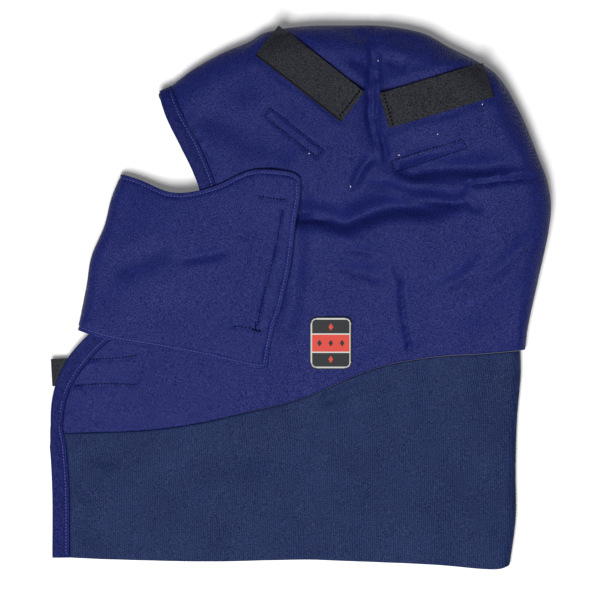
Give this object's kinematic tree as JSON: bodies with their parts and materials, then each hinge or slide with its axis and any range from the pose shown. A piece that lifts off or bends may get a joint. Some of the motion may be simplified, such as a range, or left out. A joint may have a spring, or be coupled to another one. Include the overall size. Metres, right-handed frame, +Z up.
{
  "type": "hard hat liner",
  "caption": "Padded twill hood with a ribbed knit shoulder bib, folded mouthpiece and hook-and-loop crown straps, laid flat on its side.",
  "frame": {"origin": "middle of the flat hood, on the surface that it lies on", "axes": "+X from the face to the back of the head, +Y from the bib hem to the crown, +Z up from the surface"},
  "size_m": [0.3568, 0.387, 0.0382],
  "materials": {
    "twill": "navy cotton twill, matt with a soft sheen",
    "knit": "dark blue-grey fine rib knit, matt",
    "tape": "charcoal woven hook-and-loop tape",
    "badge": "soft moulded patch in coral red and charcoal, satin"
  },
  "bodies": {
    "root": {"side_panel_near": "twill", "side_panel_far": "twill", "facing_near": "twill", "facing_far": "twill", "bib": "knit", "mouthpiece": "twill", "mouthpiece_fastener_near": "tape", "mouthpiece_fastener_far": "tape", "neck_tab": "tape", "crown_front_strap_near_lower": "tape", "crown_front_strap_near_upper": "tape", "crown_front_strap_far_lower": "tape", "crown_front_strap_far_upper": "tape", "crown_back_strap_near_lower": "tape", "crown_back_strap_near_upper": "tape", "crown_back_strap_far_lower": "tape", "crown_back_strap_far_upper": "tape", "badge_patch": "badge"}
  },
  "joints": []
}
